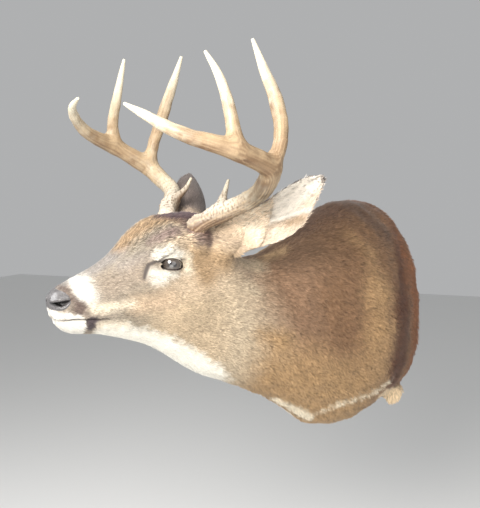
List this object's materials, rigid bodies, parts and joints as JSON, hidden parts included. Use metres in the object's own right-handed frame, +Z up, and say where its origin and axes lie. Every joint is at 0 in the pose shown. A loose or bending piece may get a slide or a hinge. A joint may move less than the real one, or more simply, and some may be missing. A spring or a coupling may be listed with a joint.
{
  "type": "deer shoulder mount",
  "caption": "Life-size shoulder mount of a white-tailed buck with antlers, head low and turned to its right, flat at the back to hang on a wall.",
  "frame": {"origin": "centre of the mount's flat rear face, where the back board meets the wall", "axes": "+Z up, -Y out of the wall, +X to the deer's left at the wall"},
  "size_m": [0.5598, 0.6614, 0.7328],
  "materials": {
    "coat": "short tan and grey-brown deer hair with white markings",
    "antler": "satin bone, pearled and grooved at the base, polished at the tips",
    "nose": "moist dark grey leather",
    "eye": "polished dark brown glass",
    "board": "bare plywood",
    "hanger": "plain sheet steel"
  },
  "bodies": {
    "root": {"ear_left": "coat", "antler_left_beam_base": "antler", "antler_left_beam_middle": "antler", "antler_left_beam_end": "antler", "antler_left_brow_tine": "antler", "antler_left_second_tine": "antler", "antler_left_third_tine": "antler", "eye_left": "eye", "ear_right": "coat", "antler_right_beam_base": "antler", "antler_right_beam_middle": "antler", "antler_right_beam_end": "antler", "antler_right_brow_tine": "antler", "antler_right_second_tine": "antler", "antler_right_third_tine": "antler", "eye_right": "eye", "head": "coat", "lower_jaw": "coat", "neck": "coat", "shoulders": "coat", "nose_pad": "nose", "back_board": "board", "hanger_plate": "hanger"}
  },
  "joints": []
}
